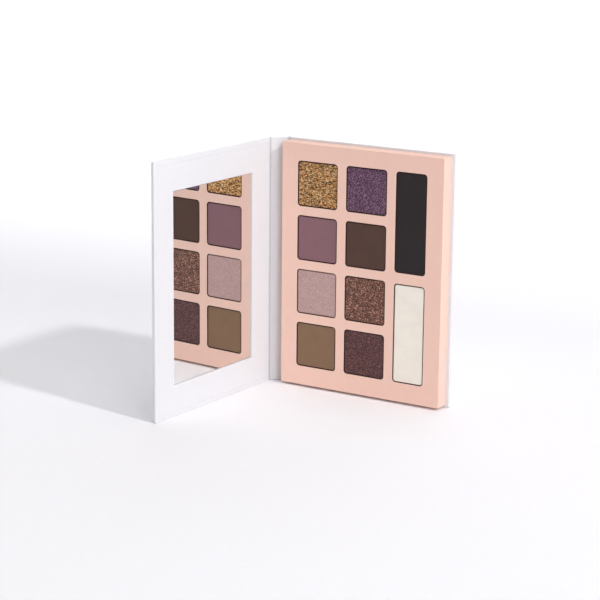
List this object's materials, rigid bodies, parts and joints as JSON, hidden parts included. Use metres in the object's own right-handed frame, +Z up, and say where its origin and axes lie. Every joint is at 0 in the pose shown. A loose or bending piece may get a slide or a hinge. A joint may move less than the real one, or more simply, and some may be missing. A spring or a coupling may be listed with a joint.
{
  "type": "eyeshadow palette",
  "caption": "Book-style pressed-powder eyeshadow palette in a paper-covered board case, standing open, with a pan tray on one cover and a framed mirror on the other.",
  "frame": {"origin": "middle of the lower, standing edge of the back cover, half way through its thickness", "axes": "+X from the spine to the back cover's free edge, +Y out of the back cover's outer face, +Z up the covers' height; the tray faces -Y"},
  "size_m": [0.1052, 0.1, 0.1244],
  "materials": {
    "white_paper": "satin",
    "pink_paper": "satin",
    "greyboard": "matte",
    "tinplate": "satin",
    "adhesive": "matte",
    "magnet_nickel": "satin",
    "mirror_glass": "polished",
    "white_card": "satin",
    "powder_olive": "matte",
    "powder_lilac": "satin",
    "powder_mauve": "matte",
    "powder_gold": "satin",
    "powder_plum": "satin",
    "powder_bronze": "satin",
    "powder_cocoa": "matte",
    "powder_violet": "satin",
    "powder_cream": "matte",
    "powder_black": "matte"
  },
  "bodies": {
    "back_cover": {"back_wrap": "white_paper", "back_board": "greyboard", "back_liner": "white_paper", "tray_skin": "pink_paper", "deck_board": "greyboard", "pan_block": "greyboard", "tray_floor": "greyboard", "tray_magnet_lower": "magnet_nickel", "tray_magnet_upper": "magnet_nickel", "pan_olive": "tinplate", "powder_olive": "powder_olive", "pan_adhesive_olive": "adhesive", "pan_lilac": "tinplate", "powder_lilac": "powder_lilac", "pan_adhesive_lilac": "adhesive", "pan_mauve": "tinplate", "powder_mauve": "powder_mauve", "pan_adhesive_mauve": "adhesive", "pan_gold": "tinplate", "powder_gold": "powder_gold", "pan_adhesive_gold": "adhesive", "pan_plum": "tinplate", "powder_plum": "powder_plum", "pan_adhesive_plum": "adhesive", "pan_bronze": "tinplate", "powder_bronze": "powder_bronze", "pan_adhesive_bronze": "adhesive", "pan_cocoa": "tinplate", "powder_cocoa": "powder_cocoa", "pan_adhesive_cocoa": "adhesive", "pan_violet": "tinplate", "powder_violet": "powder_violet", "pan_adhesive_violet": "adhesive", "pan_cream": "tinplate", "powder_cream": "powder_cream", "pan_adhesive_cream": "adhesive", "pan_black": "tinplate", "powder_black": "powder_black", "pan_adhesive_black": "adhesive"},
    "spine": {"spine_wrap": "white_paper", "spine_board": "greyboard", "spine_liner": "white_paper"},
    "front_cover": {"front_wrap": "white_paper", "front_board": "greyboard", "front_liner": "white_paper", "mirror_tape": "adhesive", "mirror": "mirror_glass", "mirror_frame": "white_card", "front_magnet_lower": "magnet_nickel", "front_magnet_upper": "magnet_nickel"}
  },
  "joints": [
    {"name": "rear_crease", "type": "hinge", "parent": "back_cover", "child": "spine", "pos_m": [-0.04643, 0.0009, 0.0622], "axis": [0, 0, -1], "range_deg": [-44, 46]},
    {"name": "front_crease", "type": "hinge", "parent": "spine", "child": "front_cover", "pos_m": [-0.0541, -0.00705, 0.0622], "axis": [0, 0, -1], "range_deg": [-48.9, 41.1]}
  ]
}
